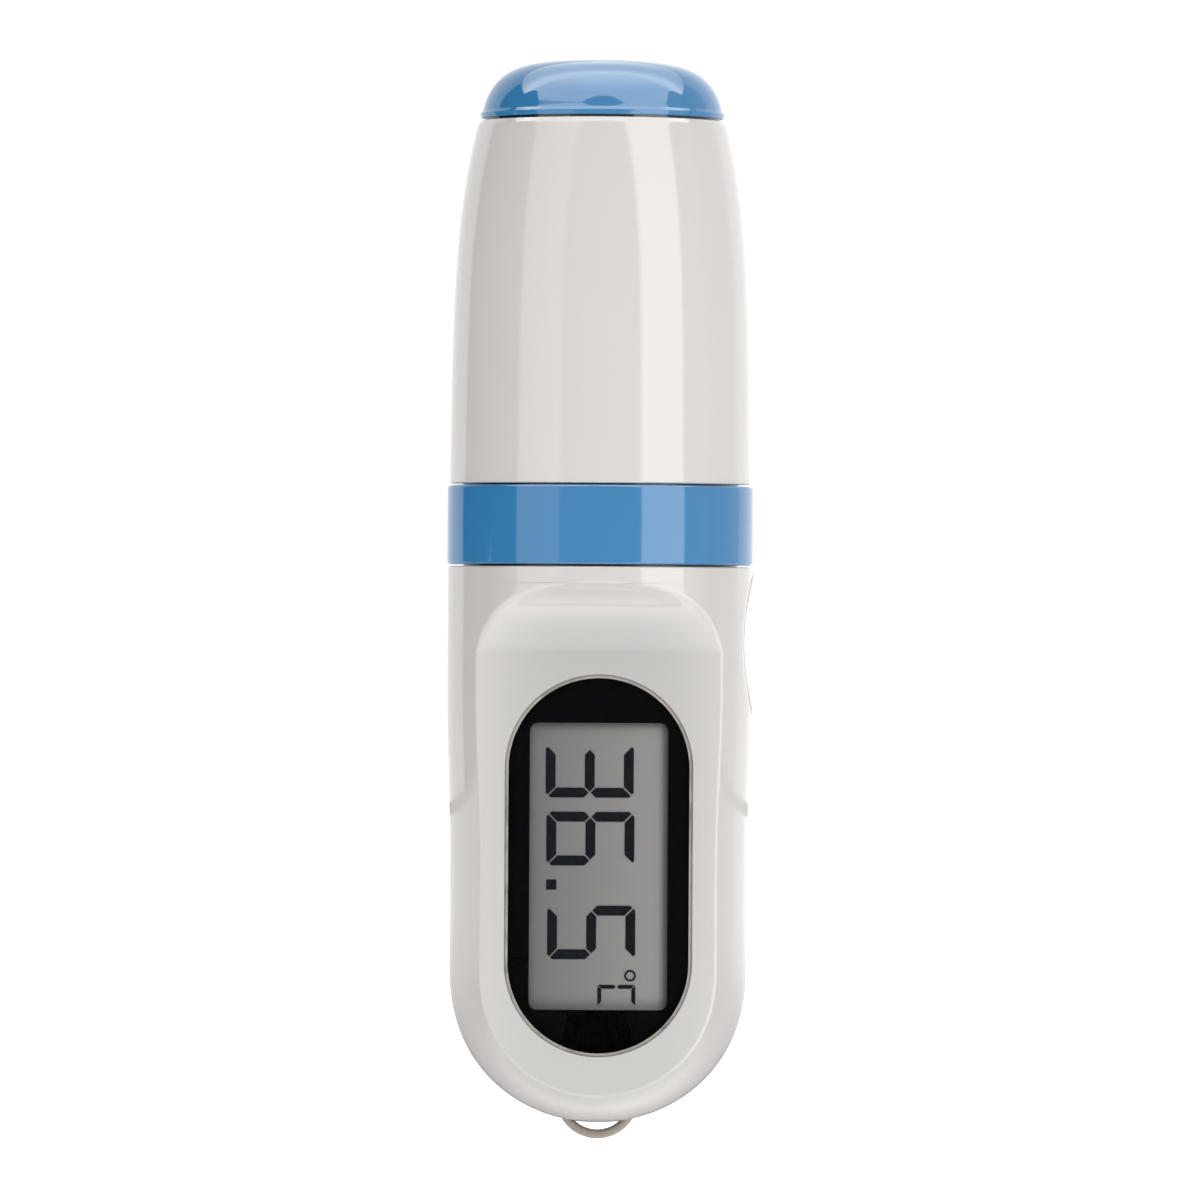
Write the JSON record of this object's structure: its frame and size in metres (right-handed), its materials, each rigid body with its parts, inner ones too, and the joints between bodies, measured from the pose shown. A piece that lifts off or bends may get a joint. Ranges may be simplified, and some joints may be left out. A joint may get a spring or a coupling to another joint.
{
  "type": "digital ear thermometer",
  "caption": "Hand-held infrared ear thermometer with a domed protective cap, a recessed display window and a scan key.",
  "frame": {"origin": "under the middle of the object, in the plane of the flat pad and the collar ring that it lies on", "axes": "+Y along the body towards the probe and cap, +X towards the scan key, +Z out of the display, upwards when it lies on its back"},
  "size_m": [0.0401, 0.1404, 0.04],
  "materials": {
    "shell": "satin off-white",
    "accent": "semi-gloss blue",
    "key": "fine matte grey",
    "window": "clear polished plastic",
    "mask": "gloss black print",
    "display": "grey liquid crystal glass",
    "figures": "dark segments",
    "probe": "smooth white",
    "inner_plastic": "moulded inner parts",
    "optic": "infrared window",
    "gold": "gold plated",
    "steel": "nickel plated",
    "board": "solder-masked board",
    "component": "moulded component",
    "flex": "amber film",
    "rubber": "conductive rubber strips",
    "cell": "plain printed sleeve",
    "strap": "taupe"
  },
  "bodies": {
    "body": {"collar_ring": "accent", "front_shell": "shell", "rear_shell": "shell", "neck_housing": "inner_plastic", "probe_cone": "probe", "probe_window": "optic", "waveguide": "gold", "sensor_can": "steel", "sensor_holder": "steel", "sensor_flex": "flex", "window_lens": "window", "window_mask": "mask", "lcd_panel": "display", "lcd_segments": "figures", "lcd_frame": "inner_plastic", "zebra_strips": "rubber", "main_board": "board", "controller_chip": "component", "board_parts": "component", "crystal_can": "steel", "buzzer": "component", "scan_switch": "component", "battery_tray": "inner_plastic", "battery_left": "cell", "battery_right": "cell", "battery_bridge": "steel", "positive_contact": "steel", "negative_contact": "steel", "bridge_spring": "steel", "negative_spring": "steel", "case_screws": "steel", "board_screws": "steel", "strap_loop": "strap"},
    "cap": {"cap_barrel": "shell", "cap_dome": "accent"},
    "key": {"scan_key": "key", "switch_plunger": "component"},
    "door": {"battery_door": "shell"}
  },
  "joints": [
    {"name": "cap_pull", "type": "slide", "parent": "body", "child": "cap", "axis": [0, 1, 0], "range_m": [0, 0.07]},
    {"name": "key_press", "type": "slide", "parent": "body", "child": "key", "axis": [-1, 0, 0], "range_m": [0, 0.0006], "stiffness_N_per_m": 2500, "springref_m": -0.0004},
    {"name": "door_slide", "type": "slide", "parent": "body", "child": "door", "axis": [0, -1, 0], "range_m": [0, 0.052]}
  ]
}
